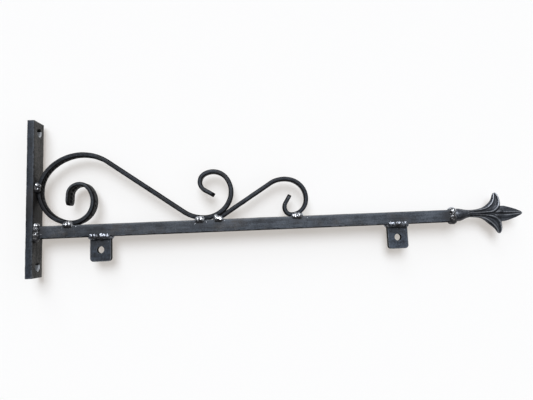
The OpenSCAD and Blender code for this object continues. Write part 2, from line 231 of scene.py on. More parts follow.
def mark_wear_and_shade(obj, reach, passes, darkened_spots):
    """Write how far each point stands out (over a half, read as worn edges) or lies in a hollow or a
    darkened spot (under, used for painted shade and for burns).
    """
    mesh = obj.data
    count = len(mesh.vertices)
    place, facing = np.empty(count * 3), np.empty(count * 3)
    mesh.vertices.foreach_get("co", place)
    mesh.vertices.foreach_get("normal", facing)
    ends = np.empty(len(mesh.edges) * 2, int)
    mesh.edges.foreach_get("vertices", ends)
    place, facing, (a, b) = place.reshape(-1, 3), facing.reshape(-1, 3), ends.reshape(-1, 2).T
    run = place[b] - place[a]
    square = np.maximum((run ** 2).sum(1), 1e-12)
    degree = np.maximum(np.bincount(a, minlength=count) + np.bincount(b, minlength=count), 1)

    def around(at_a, at_b):
        """Mean over each point's edges of a value given at both ends."""
        return (np.bincount(a, at_a, count) + np.bincount(b, at_b, count)) / degree

    bend = around((run * facing[a]).sum(1) / square, -(run * facing[b]).sum(1) / square)
    value = np.clip(0.5 - bend * reach, 0, 1)
    for _ in range(passes):
        value = (value + around(value[b], value[a])) / 2
    # Each darkened spot lowers the values round it, for painted shade and for burns round the welds
    for spot, size, depth in darkened_spots:
        near = ((place - np.array(spot)) ** 2).sum(1) / size ** 2
        value -= depth * np.clip(1 - near, 0, 1) ** 1.5
    value = np.clip(value, 0, 1)
    layer = mesh.attributes.get("wear") or mesh.attributes.new("wear", "FLOAT", "POINT")
    layer.data.foreach_set("value", value.astype(np.float32))


def face_finish(obj, test, *names):
    """Give obj several finishes: a test of a face's normal gives the number of its finish."""
    for name in names:
        obj.data.materials.append(bpy.data.materials[name])
    for face in obj.data.polygons:
        face.material_index = int(test(face.normal))


def burnt_and_shaded_places():
    """Darkened places: burns round every bead and at the arm's end, and at the scroll's touch on the plate a
    burn with painted contact shade.
    """
    # The plate's spot at the scroll's touch is painted contact shade as well as soot
    places = [((PLATE[1].x, -4 * MM, ARM_AXIS + 34 * MM), 36 * MM, 0.28),
              ((ARM[1].x, -8 * MM, ARM_AXIS), 34 * MM, 0.13)]
    for node in WELD_ROWS:
        low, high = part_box(node)
        places.append(((low + high) / 2, (high - low).length / 2 + 3 * MM, 0.2))
    return places


def hand_over(obj, name, node):
    """Finish a piece: its name, its smooth faces, and the node that it stands for."""
    obj.name = obj.data.name = name
    activate(obj)
    bpy.ops.object.shade_smooth_by_angle(angle=SMOOTH_ANGLE)
    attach(obj, "root")
    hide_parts(node)


def leave_outward():
    """Turn the faces of the mesh being edited outwards, and leave edit mode."""
    bpy.ops.mesh.select_all(action="SELECT")
    bpy.ops.mesh.normals_make_consistent(inside=False)
    bpy.ops.object.mode_set(mode="OBJECT")


def divide(obj, axis, step):
    """Divide the long edges that run along an axis into lengths of about a step."""
    mesh = open_mesh(obj)
    lengths = [abs((e.verts[1].co - e.verts[0].co)[axis]) for e in mesh.edges]
    longest = max(lengths)
    cuts = round(longest / step) - 1
    # A long bar is divided into tenths first
    rounds = [cuts] if cuts < 60 else [9, round(longest / 10 / step) - 1]
    for number in rounds:
        mesh = bmesh.from_edit_mesh(obj.data)
        pick(obj, mesh.edges, lambda e: e.calc_length() > step * 1.6 and
             abs((e.verts[1].co - e.verts[0].co)[axis]) > 0.999 * e.calc_length())
        bpy.ops.mesh.subdivide(number_cuts=number)
    bpy.ops.object.mode_set(mode="OBJECT")


def rolled_bar(low, high, size, dent_length, wave_length, wave_middle=0.5):
    """A length of rolled bar: a block with rounded, dented edges and slightly wavy faces."""
    obj = started(bpy.ops.mesh.primitive_cube_add, size=1, location=(low + high) / 2, scale=high - low)
    open_mesh(obj)
    bpy.ops.mesh.select_all(action="SELECT")
    bpy.ops.mesh.bevel(offset=size.rounding, segments=3, affect="EDGES")
    bpy.ops.object.mode_set(mode="OBJECT")
    for axis in range(3):
        divide(obj, axis, size.step)
    edges = obj.vertex_groups.new(name="edges")
    for v in obj.data.vertices:
        near = sum(min(v.co[i] - low[i], high[i] - v.co[i]) < size.rounding * 1.02 for i in range(3))
        if near >= 2:
            edges.add([v.index], 1.0, "REPLACE")
    roughen(obj, size.dents, dent_length, 1.0, edges.name, 1.6)
    roughen(obj, size.waviness, wave_length, wave_middle)
    return obj


def drill(obj, place, direction, radius, depth, rim, inside):
    """Cut a round hole through obj, with its rim broken at both mouths, and finish its wall."""
    cutter = started(bpy.ops.mesh.primitive_cylinder_add, vertices=64, radius=radius,
                     depth=depth - 2 * rim, location=place,
                     rotation=direction.to_track_quat("Z", "Y").to_euler())
    for side in (-1, 1):
        mesh = open_mesh(cutter, "FACE")
        pick(cutter, mesh.faces, lambda f: len(f.verts) > 8 and f.normal.dot(direction) * side > 0.9)
        middle = place + direction * side * (depth / 2 + rim)
        bpy.ops.mesh.extrude_region_move(
            TRANSFORM_OT_translate={"value": direction * side * 2 * rim})
        bpy.ops.transform.resize(value=[1 + 2 * rim / radius] * 3, center_override=middle)
    bpy.ops.object.mode_set(mode="OBJECT")
    cutter.data.materials.append(bpy.data.materials[inside])
    apply(obj, "BOOLEAN", operation="DIFFERENCE", object=cutter, solver="EXACT",
          material_mode="TRANSFER")
    bpy.data.objects.remove(cutter)


# Finishes

UPRIGHT = {"Rolling": (1, 1, 0.1)}
# Each steel finish: darker and lighter shade (None for the panel's own), stain, wear, fineness,
# metal, relief, sheen, and other inputs that differ from the node group's own
STEELS = {
    "Arm steel": (None, None, 0.25, 0.8, 1.3, 0.25, 0.4, 0.4, {}),
    "Plate steel": ((0.004, 0.007, 0.012), (0.042, 0.057, 0.083), 0.2, 0.5, 0.7, 0.25, 0.4, 0.4, UPRIGHT),
    "Lug steel": ((0.006, 0.009, 0.015), (0.060, 0.078, 0.110), 0.1, 1.0, 1.0, 0.25, 0.4, 0.4, {}),
    # The plate's side faces: brownish rolled scale, made lighter as painted light
    "Rolled face": ((0.004, 0.004, 0.004), (0.120, 0.117, 0.112), 0.35, 0.5, 0.7, 0.0, 0.4, 0.14, UPRIGHT),
    # Black scale on rounded edges also serves as painted shade, a dark outline
    "Black scale": ((0.001, 0.001, 0.0015), (0.007, 0.007, 0.008), 0.05, 0.1, 1.0, 0.0, 0.35, 0.06,
                    {"Polish": -0.3}),
    # Side scale on the sides of bars, lugs and finial also serves as painted shade
    "Side scale": ((0.001, 0.001, 0.002), (0.009, 0.010, 0.012), 0.0, 0.15, 1.0, 0.0, 0.35, 0.1, {}),
    "Forged steel": ((0.002, 0.003, 0.005), (0.029, 0.036, 0.049), 0.1, 0.7, 1.2, 0.25, 0.3, 0.22,
                     {"Bare": (0.20, 0.22, 0.25)}),
    # Cast steel: the raised rims are rubbed bright, and made lighter still as a painted highlight
    "Cast steel": ((0.010, 0.013, 0.018), (0.066, 0.075, 0.092), 0.05, 1.15, 1.5, 0.6, 0.25, 0.5,
                   {"Bare": (0.45, 0.48, 0.54), "Polish": 0.2}),
    "Shaded bore": ((0.001, 0.001, 0.001), (0.006, 0.006, 0.006), 0.0, 0.0, 1.0, 0.0, 0.2, 0.05,
                    {"Polish": -0.3}),
    # Painted shade: the dark wall of a screw hole
    "Plate bore": ((0.004, 0.004, 0.004), (0.05, 0.05, 0.05), 0.0, 0.0, 1.0, 0.0, 0.2, 0.1, {}),
}
# Each bead finish: bright metal (None for the panel's own), heat tint, share of slag
BEADS = {
    "Bright bead": (None, (0.38, 0.40, 0.45), 0.34),
    "Spotted bead": (None, (0.30, 0.32, 0.36), 0.47),
    "Dull bead": ((0.22, 0.24, 0.28), (0.10, 0.103, 0.115), 0.27),
}


def shader_group(name, colours, values, outputs):
    """A node group that takes colours and values and gives out a colour and numbers."""
    group = bpy.data.node_groups.new(name, "ShaderNodeTree")
    for label in colours:
        group.interface.new_socket(name=label, in_out="INPUT", socket_type="NodeSocketColor")
    for label, value in values.items():
        kind = "NodeSocketVector" if isinstance(value, tuple) else "NodeSocketFloat"
        socket = group.interface.new_socket(name=label, in_out="INPUT", socket_type=kind)
        socket.default_value = value
    for label in outputs:
        kind = "NodeSocketColor" if label == "Colour" else "NodeSocketFloat"
        group.interface.new_socket(name=label, in_out="OUTPUT", socket_type=kind)
    return group, node_maker(group)


def node_maker(tree):
    """A function that adds a node to tree, sets its fields and fills or links its inputs."""

    def add(kind, links=(), **fields):
        node = tree.nodes.new("ShaderNode" + kind if kind[:4] != "Node" else kind)
        for name, value in fields.items():
            setattr(node, name, value)
        for socket, value in dict(links).items():
            if isinstance(value, bpy.types.NodeSocket):
                tree.links.new(value, node.inputs[socket])
            else:
                node.inputs[socket].default_value = value
        return node

    return add


def blank_nodes(owner):
    """Clear the nodes of a material or a world, and return a function that adds nodes to it."""
    owner.use_nodes = True
    owner.node_tree.nodes.clear()
    return node_maker(owner.node_tree)


def spread(add, value, low, high, to_low=0.0, to_high=1.0):
    """Stretch the part of a value between low and high over another range, and hold it there."""
    return add("MapRange", {"Value": value, "From Min": low, "From Max": high,
                            "To Min": to_low, "To Max": to_high}).outputs[0]


def blend(add, share, a, b, way="MIX"):
    """Mix two colours."""
    return add("Mix", {0: share, 6: a, 7: b}, data_type="RGBA", blend_type=way).outputs[2]


def between(add, share, a, b):
    """Mix two numbers."""
    return add("Mix", {0: share, 2: a, 3: b}).outputs[0]


def calculate(add, operation, a, b, clamp=False):
    """Work out a number from two others."""
    return add("Math", {0: a, 1: b}, operation=operation, use_clamp=clamp).outputs[0]


def steel_surface():
    """Node group: mottled mill scale with faint stains and bright worn edges, painted shade in hollows and
    darkened spots, and painted light that makes the steel lighter towards the arm's outer end.
    """
    group, add = shader_group(
        "Steel surface", ("Dark", "Light", "Stain", "Bare"),
        {"Stain amount": 0.3, "Wear amount": 0.6, "Fineness": 1.0, "Rolling": (0.12, 1, 1),
         "Polish": 0.0, "Hollow shade amount": 1.0}, ("Colour", "Roughness", "Height"))
    given = add("NodeGroupInput").outputs
    place = add("TexCoord").outputs["Object"]

    def noise(scale, detail=3.0, rough=0.55, source=place):
        size = calculate(add, "MULTIPLY", given["Fineness"], scale)
        return add("TexNoise", {"Vector": source, "Scale": size, "Detail": detail,
                                "Roughness": rough}).outputs["Fac"]

    def times(a, b, operation="MULTIPLY"):
        return calculate(add, operation, a, b, clamp=True)

    clouds, grain, pits = noise(60.0, 4.0), noise(560.0, 3.0, 0.7), noise(900.0, 2.0)
    rolled = add("Mapping", {"Vector": place, "Scale": given["Rolling"]}).outputs[0]
    mottle = between(add, 0.3, between(add, 0.65, clouds, grain), noise(260.0, 3.0, 0.6, rolled))
    scale = blend(add, spread(add, mottle, 0.40, 0.60), given["Dark"], given["Light"])
    # Painted light: every steel finish grows lighter along the arm towards its outer end, and darker towards
    # the plate
    along = add("SeparateXYZ", {"Vector": place}).outputs["X"]
    scale = blend(add, 1.0, scale, spread(add, along, 0.05, 0.52, 0.74, 1.28), "MULTIPLY")
    stained = times(spread(add, noise(28.0, 5.0, 0.7), 0.5, 0.68), given["Stain amount"])
    scale = blend(add, stained, scale, given["Stain"])
    wear = add("Attribute", attribute_name="wear").outputs["Fac"]
    rubbed = times(spread(add, wear, 0.56, 0.86), spread(add, grain, 0.36, 0.62, 0.25, 1.0))
    rubbed = times(rubbed, given["Wear amount"])
    specks = times(spread(add, pits, 0.63, 0.70), spread(add, clouds, 0.46, 0.6, 0.0, 0.5))
    rubbed = times(rubbed, times(specks, given["Wear amount"]), "ADD")
    scale = blend(add, rubbed, scale, given["Bare"])
    # Painted shade: hollows and darkened spots (low wear values) are darkened towards near-black
    hollow = times(spread(add, wear, 0.47, 0.3, 0.0, 0.7), given["Hollow shade amount"])
    scale = blend(add, hollow, scale, (0.012, 0.012, 0.014, 1))
    rough = between(add, rubbed, spread(add, grain, 0.3, 0.7, 0.46, 0.66), 0.32)
    rough = calculate(add, "SUBTRACT", rough, given["Polish"])
    height = between(add, 0.5, clouds, between(add, 0.4, grain, pits))
    add("NodeGroupOutput", {"Colour": scale, "Roughness": rough, "Height": height})
    return group


def bead_surface():
    """Node group: bright weld metal with slag in its hollows and heat tints on its flanks, and painted shade
    as more dark slag where the bead faces down and in its darkened spots.
    """
    group, add = shader_group("Bead surface", ("Bright", "Slag", "Tint"), {"Slag amount": 0.5},
                              ("Colour", "Roughness", "Metal", "Height"))
    given = add("NodeGroupInput").outputs
    place = add("TexCoord").outputs["Object"]

    def noise(scale, detail=2.0):
        return add("TexNoise", {"Vector": place, "Scale": scale, "Detail": detail}).outputs["Fac"]

    wear = add("Attribute", attribute_name="wear").outputs["Fac"]
    patch = calculate(add, "ADD", noise(420.0), given["Slag amount"])
    depth = calculate(add, "SUBTRACT", patch, wear)
    # Painted shade: the dark slag colour spreads further where the bead faces down
    upward = add("SeparateXYZ", {"Vector": add("NewGeometry").outputs["Normal"]}).outputs["Z"]
    depth = add("Math", {0: upward, 1: -0.16, 2: depth}, operation="MULTIPLY_ADD").outputs[0]
    slag_and_shade = spread(add, depth, 0.33, 0.42)
    tinted = blend(add, spread(add, noise(260.0, 3.0), 0.45, 0.62, 0.0, 0.6), given["Bright"], given["Tint"])
    add("NodeGroupOutput", {"Colour": blend(add, slag_and_shade, tinted, given["Slag"]),
                            "Roughness": between(add, slag_and_shade, 0.2, 0.4),
                            "Metal": spread(add, slag_and_shade, 0.0, 1.0, 1.0, 0.1), "Height": noise(1300.0)})
    return group


def finish(name, group, values, metal, bump, sheen=0.5):
    """A material: one node group's colour, roughness and relief on a Principled shader."""
    add = blank_nodes(bpy.data.materials.new(name))
    surface = add("Group", node_tree=group)
    for label, value in values.items():
        colour = surface.inputs[label].type == "RGBA"
        surface.inputs[label].default_value = (*value, 1) if colour else value
    made = surface.outputs
    relief = add("Bump", {"Strength": bump, "Distance": 0.25 * MM, "Height": made["Height"]})
    metallic = made["Metal"] if "Metal" in made else metal
    shader = add("BsdfPrincipled", {"Base Color": made["Colour"], "Metallic": metallic,
                                    "Roughness": made["Roughness"], "Specular IOR Level": sheen,
                                    "Normal": relief.outputs[0]})
    add("OutputMaterial", {0: shader.outputs[0]})


class BRACKET_OT_finishes(bpy.types.Operator):
    """Make the finishes of the steel, the casting and the weld beads"""

    bl_idname = "bracket.finishes"
    bl_label = "Finishes"

    def execute(self, context):
        colours = context.scene.bracket_colours
        steel, bead = steel_surface(), bead_surface()
        for name, (dark, light, stain, wear, fine, metal, relief, sheen, more) in STEELS.items():
            values = {"Dark": dark or colours.scale_dark, "Light": light or colours.scale_light,
                      "Stain": colours.stain, "Bare": colours.bare, "Stain amount": stain,
                      "Wear amount": wear, "Fineness": fine, **more}
            finish(name, steel, values, metal, relief, sheen)
        fresh_glint = {"Dark": colours.drilled, "Light": colours.drilled, "Stain amount": 0.0,
                 "Wear amount": 0.0, "Hollow shade amount": 0.0, "Polish": 0.1}
        finish("Drilled steel", steel, fresh_glint, 0.0, 0.1, 1.0)
        for name, (bright, tint, share) in BEADS.items():
            values = {"Bright": bright or colours.bead, "Slag": colours.slag_and_shade, "Tint": tint,
                      "Slag amount": share}
            finish(name, bead, values, 1.0, 0.3)
        return {"FINISHED"}


# Plate, arm and lugs


class BRACKET_OT_plate(bpy.types.Operator):
    """Model the wall plate with its two drilled screw holes"""

    bl_idname = "bracket.plate"
    bl_label = "Wall Plate"

    def execute(self, context):
        size = context.scene.bracket_sizes
        low, high = PLATE
        obj = rolled_bar(low, high, size, 7 * MM, 16 * MM, 1.0)
        # Painted shade: the rounded edges take the black scale; the side faces take the lighter brownish
        # rolled face, partly painted light
        face_finish(obj, lambda n: (abs(n.x) > 0.3) + (abs(n.x) > 0.9),
                    "Plate steel", "Black scale", "Rolled face")
        middle = (low + high) / 2
        for side in (-1, 1):
            height = middle.z + side * (high.z - middle.z - size.screw_inset)
            drill(obj, Vector((middle.x, middle.y, height)), Vector((1, 0, 0)), size.screw_hole,
                  high.x - low.x, SCREW_RIM, "Plate bore")
        # Painted highlight and shade: wall faces in the half towards the +X face that lean from facing up
        # towards the front take the bright glint, the rest stays dark
        obj.data.materials.append(bpy.data.materials["Drilled steel"])
        fresh_glint = len(obj.data.materials) - 1
        wall = [m.name for m in obj.data.materials].index("Plate bore")
        for face in obj.data.polygons:
            lean = math.degrees(math.atan2(-face.normal.y, face.normal.z))
            in_front = face.center.x > middle.x - MM
            if face.material_index == wall and in_front and GLINT_LEAN[0] < lean < GLINT_LEAN[1]:
                face.material_index = fresh_glint
        mark_wear_and_shade(obj, 1.4 * MM, 1, burnt_and_shaded_places())
        hand_over(obj, "plate", "wall_plate")
        return {"FINISHED"}


class BRACKET_OT_arm(bpy.types.Operator):
    """Model the square arm"""

    bl_idname = "bracket.arm"
    bl_label = "Arm"

    def execute(self, context):
        size = context.scene.bracket_sizes
        obj = rolled_bar(*ARM, size, 8 * MM, 20 * MM)
        # Painted shade: the underside and the rounding along the top take the black scale, as dark outlines
        face_finish(obj, lambda n: n.z < -0.25 or 0.6 < n.z < 0.95, "Arm steel", "Black scale")
        mark_wear_and_shade(obj, 1.6 * MM, 1, burnt_and_shaded_places())
        hand_over(obj, "arm", "arm_bar")
        return {"FINISHED"}


class BRACKET_OT_lugs(bpy.types.Operator):
    """Model the two lugs that the sign hangs from"""

    bl_idname = "bracket.lugs"
    bl_label = "Sign Lugs"

    def execute(self, context):
        size = context.scene.bracket_sizes
        for name in ("inner_lug", "outer_lug"):
            low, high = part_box(name)
            obj = started(bpy.ops.mesh.primitive_cube_add, size=1, location=(low + high) / 2,
                          scale=high - low)
            mesh = open_mesh(obj)
            pick(obj, mesh.edges, lambda e: all(v.co.z < low.z + MM for v in e.verts)
                 and abs(e.verts[0].co.y - e.verts[1].co.y) > MM)
            bpy.ops.mesh.bevel(offset=size.lug_corner, segments=5, affect="EDGES")
            bpy.ops.mesh.select_all(action="DESELECT")
            bpy.ops.mesh.edges_select_sharp(sharpness=SMOOTH_ANGLE)
            bpy.ops.mesh.bevel(offset=0.7 * MM, segments=2, affect="EDGES")
            bpy.ops.object.mode_set(mode="OBJECT")
            apply(obj, "REMESH", mode="VOXEL", voxel_size=0.5 * MM)
            apply(obj, "SMOOTH", factor=0.5, iterations=2)
            roughen(obj, size.waviness, 7 * MM)
            roughen(obj, 0.1 * MM, 2 * MM)
            centre = Vector(((low.x + high.x) / 2, 0, ARM[0].z - size.lug_hole_drop))
            # Painted shade: the rounded edges take the black scale and the sides the dark side scale
            face_finish(obj, lambda n: (abs(n.x) > 0.6) + (abs(n.x) > 0.95),
                        "Lug steel", "Black scale", "Side scale")
            drill(obj, centre, Vector((0, 1, 0)), size.lug_hole, high.y - low.y, LUG_RIM, "Shaded bore")
            mark_wear_and_shade(obj, 1.3 * MM, 2, burnt_and_shaded_places())
            hand_over(obj, name.replace("_lug", "_sign_lug"), name)
        return {"FINISHED"}


# Scrolls

BIG_CURL, SLOPE_BEND, MID_CURL = 41.3, 46, 35
# Each step of a scroll is (radius, turn) with a left turn positive, or (0, length) for a
# straight. Radii and lengths are in millimetres and turns in degrees. The straight without a
# length is the long scroll's slope, which ends where the middle curl stands on the arm.
LONG_STEPS = ((0, 13.6), (13.6, -138), (27.5, -57), (26.2, -72), (BIG_CURL, -132), (56, -83.4),
              (0, None), (SLOPE_BEND, 35.4), (MID_CURL, 65), (30.3, 60), (21.4, 86), (12.1, 118), (0, 14))
SHORT_STEPS = ((0, 11), (11.3, 65), (8, 57), (19.9, 82.5), (25.7, 78), (33.3, 51.9))
SHORT_SLOPE = 32.4
# Lengths that are beaten, in millimetres: the big curl's end is thinned and spread beyond a
# plain stretch at its tip, and the small curls' ends from their very tips
TIP_STRETCH, BIG_THINNED, BIG_SPREAD, SMALL_BEATEN = 8, 96, 130, 90
SMALL_SPREAD_POWER = 2.5
BIG_TIP_CORNER = 7
# A first ring close behind the tip keeps the end's rounding narrow
FIRST_RING = 0.7
BAR_ROUNDING, END_ROUNDING = 1.9 * MM, 0.45 * MM
MOST_DRIFT = 1.2 * MM


def walk(place, radius, turn):
    """The place and heading at the end of a step that starts at place: (x, z, heading)."""
    x, z, heading = place
    h = math.radians(heading)
    if radius == 0:
        return x + turn * math.cos(h), z + turn * math.sin(h), heading
    side, end = math.copysign(radius, turn), math.radians(heading + turn)
    return (x + side * (math.sin(end) - math.sin(h)), z - side * (math.cos(end) - math.cos(h)),
            heading + turn)


def walk_all(place, steps):
    """The place and heading at the end of a run of steps."""
    for step in steps:
        place = walk(place, *step)
    return place


def start_before(place, steps):
    """The start of a run of steps that ends at a place, given the heading that looks back."""
    for radius, turn in reversed(steps):
        place = walk(place, radius, -turn if radius else turn)
    return place[0], place[1], place[2] - 180


def step_length(radius, turn):
    """Length of a step along the centreline."""
    return turn if radius == 0 else radius * abs(math.radians(turn))


class ScrollBar:
    """A flat bar bent along a path by spinning and extruding its section."""

    def __init__(self, place, bar, spacing):
        self.place, self.spacing = place, spacing / MM
        self.rings = [(*place, 0.0)]
        x, z, heading = place
        start_clean()
        bpy.ops.mesh.primitive_plane_add(size=1, location=(x * MM, 0, z * MM),
                                         rotation=(0, math.radians(90 - heading), 0))
        self.obj = bpy.context.object
        self.obj.scale = (bar[0], bar[1], 1)
        settle(self.obj)
        open_mesh(self.obj, "VERT")
        bpy.ops.mesh.select_all(action="SELECT")
        bpy.ops.mesh.bevel(offset=BAR_ROUNDING, segments=4, affect="VERTICES")
        mesh = bmesh.from_edit_mesh(self.obj.data)
        bpy.ops.mesh.select_mode(type="EDGE")
        for length, cuts in ((4.5 * MM, 3), (2 * MM, 1)):
            pick(self.obj, mesh.edges, lambda e: e.calc_length() > length)
            bpy.ops.mesh.subdivide(number_cuts=cuts)
            mesh = bmesh.from_edit_mesh(self.obj.data)
        bpy.ops.mesh.select_all(action="SELECT")
        bpy.ops.mesh.delete(type="ONLY_FACE")
        bpy.ops.mesh.select_all(action="SELECT")

    def note(self, length, radius, turn, count):
        """Remember the rings that a step of this length leaves behind."""
        start = self.rings[-1][3]
        for k in range(1, count + 1):
            share = turn * k / count
            self.rings.append((*walk(self.place, radius, share), start + length * k / count))
        self.place = walk(self.place, radius, turn)

    def bend(self, radius, turn):
        """Spin the section round a bend."""
        x, z, heading = self.place
        length = step_length(radius, turn)
        count = max(2, round(length / self.spacing))
        h, side = math.radians(heading), math.copysign(radius, turn)
        centre = (MM * (x - side * math.sin(h)), 0, MM * (z + side * math.cos(h)))
        bpy.ops.mesh.spin(steps=count, angle=math.radians(turn), center=centre, axis=(0, 1, 0))
        self.note(length, radius, turn, count)

    def run(self, length, count=0):
        """Extrude the section straight on, in a number of equal steps."""
        h = math.radians(self.place[2])
        count = count or max(1, round(length / self.spacing))
        move = Vector((math.cos(h), 0, math.sin(h))) * length / count * MM
        for _ in range(count):
            bpy.ops.mesh.extrude_region_move(TRANSFORM_OT_translate={"value": move})
        self.note(length, 0, length, count)

    def follow(self, steps):
        """Take the steps in turn, the first of which is straight."""
        self.run(FIRST_RING)
        for radius, turn in [(0, steps[0][1] - FIRST_RING), *steps[1:]]:
            if radius:
                self.bend(radius, turn)
            else:
                self.run(turn)

    def mitre(self, length, height):
        """Extrude the last stretch and slide its end along the bar onto a level surface."""
        self.run(length, 1)
        h = math.radians(self.place[2])
        heading = Vector((math.cos(h), 0, math.sin(h)))
        mesh = bmesh.from_edit_mesh(self.obj.data)
        for v in mesh.verts:
            if v.select:
                v.co += heading * (height - v.co.z) / heading.z
        bmesh.update_edit_mesh(self.obj.data)

    def close(self):
        """Close both ends with slightly rounded faces."""
        bpy.ops.mesh.select_all(action="SELECT")
        bpy.ops.mesh.fill_holes(sides=0)
        bpy.ops.mesh.normals_make_consistent(inside=False)
        bpy.ops.mesh.select_mode(type="FACE")
        mesh = bmesh.from_edit_mesh(self.obj.data)
        pick(self.obj, mesh.faces, lambda f: len(f.verts) > 8)
        bpy.ops.mesh.region_to_loop()
        bpy.ops.mesh.bevel(offset=END_ROUNDING, segments=2, affect="EDGES")
        bpy.ops.object.mode_set(mode="OBJECT")

    def shape(self, thickness, width):
        """Thin and spread each ring by functions of its distance along the bar."""
        tree = KDTree(len(self.rings))
        for k, (x, z, _, _) in enumerate(self.rings):
            tree.insert((x, 0, z), k)
        tree.balance()
        for v in self.obj.data.vertices:
            _, k, _ = tree.find((v.co.x / MM, 0, v.co.z / MM))
            x, z, heading, along = self.rings[k]
            h = math.radians(heading)
            across = Vector((-math.sin(h), 0, math.cos(h)))
            out = (v.co - Vector((x * MM, 0, z * MM))).dot(across)
            v.co += across * out * (thickness(along) - 1)
            v.co.y *= width(along)


def beaten(tip, full, distance, taper, flat=0.0, power=1.0):
    """Size of a beaten end at a distance from its tip, as a share of the bar's full size."""
    share = min(1, max(0, (distance - flat) / taper))
    return 1 + (tip / full - 1) * (1 - share) ** power


def clipped(distance, radius):
    """Width that a tip's rounded corners take off at a distance from its end."""
    return 2 * (radius - math.sqrt(radius ** 2 - (radius - distance) ** 2)) if distance < radius else 0


class BRACKET_OT_scrolls(bpy.types.Operator):
    """Model the long scroll and the short scroll with their beaten ends"""

    bl_idname = "bracket.scrolls"
    bl_label = "Scrolls"

    def finish_bar(self, bar, node):
        """Hammer the bar, check its place against the part's, and hand it over."""
        size = bpy.context.scene.bracket_scrolls
        obj = bar.obj
        activate(obj)
        found = [Vector([f(v.co[i] for v in obj.data.vertices) for i in range(3)]) for f in (min, max)]
        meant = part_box(node)
        if max((found[k] - meant[k]).length for k in (0, 1)) > MOST_DRIFT:
            raise RuntimeError(f"{node} lies at {found} and not at {meant}")
        roughen(obj, size.hammering, 9 * MM, 0.2)
        roughen(obj, 0.1 * MM, 2.5 * MM)
        # Painted shade: the rounded edges take the black scale and the sides the dark side scale, as dark
        # outlines
        face_finish(obj, lambda n: (abs(n.y) < 0.92) + (abs(n.y) < 0.3),
                    "Forged steel", "Black scale", "Side scale")
        mark_wear_and_shade(obj, 1.4 * MM, 1, burnt_and_shaded_places())
        hand_over(obj, f"{node}_bar", node)

    def execute(self, context):
        size = context.scene.bracket_scrolls
        (bar_t, bar_w), (short_t, short_w), (tip_t, tip_w), (small_t, small_w) = (
            [v / MM for v in pair] for pair in (size.bar, size.short_bar, size.big_end, size.small_end))
        arm_top, full = ARM[1].z / MM, size.fullness / MM

        # Walk back from where the big curl stands on the arm to the tip of its spiral
        stand = (PLATE[1].x / MM + bar_t / 2 + BIG_CURL, arm_top + bar_t / 2, 0.0)
        start = start_before(stand, LONG_STEPS[:4])
        crown = walk_all(start, LONG_STEPS[:6])
        slope = math.radians(-crown[2])
        drop = crown[1] - arm_top - bar_t / 2 - SLOPE_BEND * (1 - math.cos(slope))
        steps = [s if s[1] is not None else (0, drop / math.sin(slope)) for s in LONG_STEPS]
        total = sum(step_length(*s) for s in steps)
        bar = ScrollBar(start, size.bar, size.ring_step)
        bar.follow(steps)
        bar.close()
        bar.shape(
            lambda d: min(beaten(tip_t, bar_t, d, BIG_THINNED, TIP_STRETCH),
                          beaten(small_t, bar_t, total - d, SMALL_BEATEN)) + full / bar_t,
            lambda d: max(beaten(tip_w, bar_w, d, BIG_SPREAD, TIP_STRETCH),
                          beaten(small_w, bar_w, total - d, SMALL_BEATEN, 0, SMALL_SPREAD_POWER))
            - (clipped(d + 0.2, BIG_TIP_CORNER) + clipped(total - d + 0.2, small_t)) / bar_w)
        self.finish_bar(bar, "long_scroll")

        # The short scroll's leg passes close under the middle curl
        mid = walk_all(start, steps[:8])
        stand_z = arm_top + short_t / 2
        shoulder = walk_all((0.0, stand_z, 0.0), SHORT_STEPS[3:])
        s, c = math.sin(math.radians(SHORT_SLOPE)), math.cos(math.radians(SHORT_SLOPE))
        reach = MID_CURL + bar_t / 2 + 0.1 + short_t / 2
        offset = (arm_top + bar_t / 2 + MID_CURL) * c - mid[0] * s - reach
        end_x = (shoulder[1] * c - offset) / s - shoulder[0]
        leg = (shoulder[1] - arm_top) / s
        start = start_before((end_x, stand_z, 180.0), SHORT_STEPS[:3])
        bar = ScrollBar(start, size.short_bar, size.ring_step)
        bar.follow([*SHORT_STEPS, (0, leg - short_t * c / s)])
        bar.mitre(short_t * c / s, ARM[1].z)
        bar.close()
        bar.shape(lambda d: beaten(small_t, short_t, d, SMALL_BEATEN) + full / short_t,
                  lambda d: beaten(small_w, short_w, d, SMALL_BEATEN, 0, SMALL_SPREAD_POWER)
                  - clipped(d + 0.2, small_t) / short_w)
        self.finish_bar(bar, "short_scroll")
        return {"FINISHED"}


# Finial

# Distance along the arm from the finial's joint and radius of the turned core, in millimetres
CORE = ((0, 6.9), (1.5, 7.6), (3, 7.3), (4.5, 7.5), (7, 8.1), (10, 8.25), (12.5, 8.0), (16, 7.2),
        (20, 5.9), (24, 5.1), (27, 4.7), (30, 4.4), (34, 3.7), (38, 2.9), (44, 1.6), (54, 0.9), (62, 0.4))
# Height of the core's axis, the blade's and the lower leaf's above the arm's
CORE_LIFT, BLADE_LIFT, LOWER_LIFT = 1.2, 0.7, 1.6
# Places painted dark as shade, on the lower front of the bulb and the neck and where the blade starts under
# the leaves' rims: (place from the joint, reach, depth)
SHADED = (((14, -7, -4), 9, 0.3), ((24, -5, -2.5), 7, 0.22), ((64, -3, 0.7), 9, 0.3))
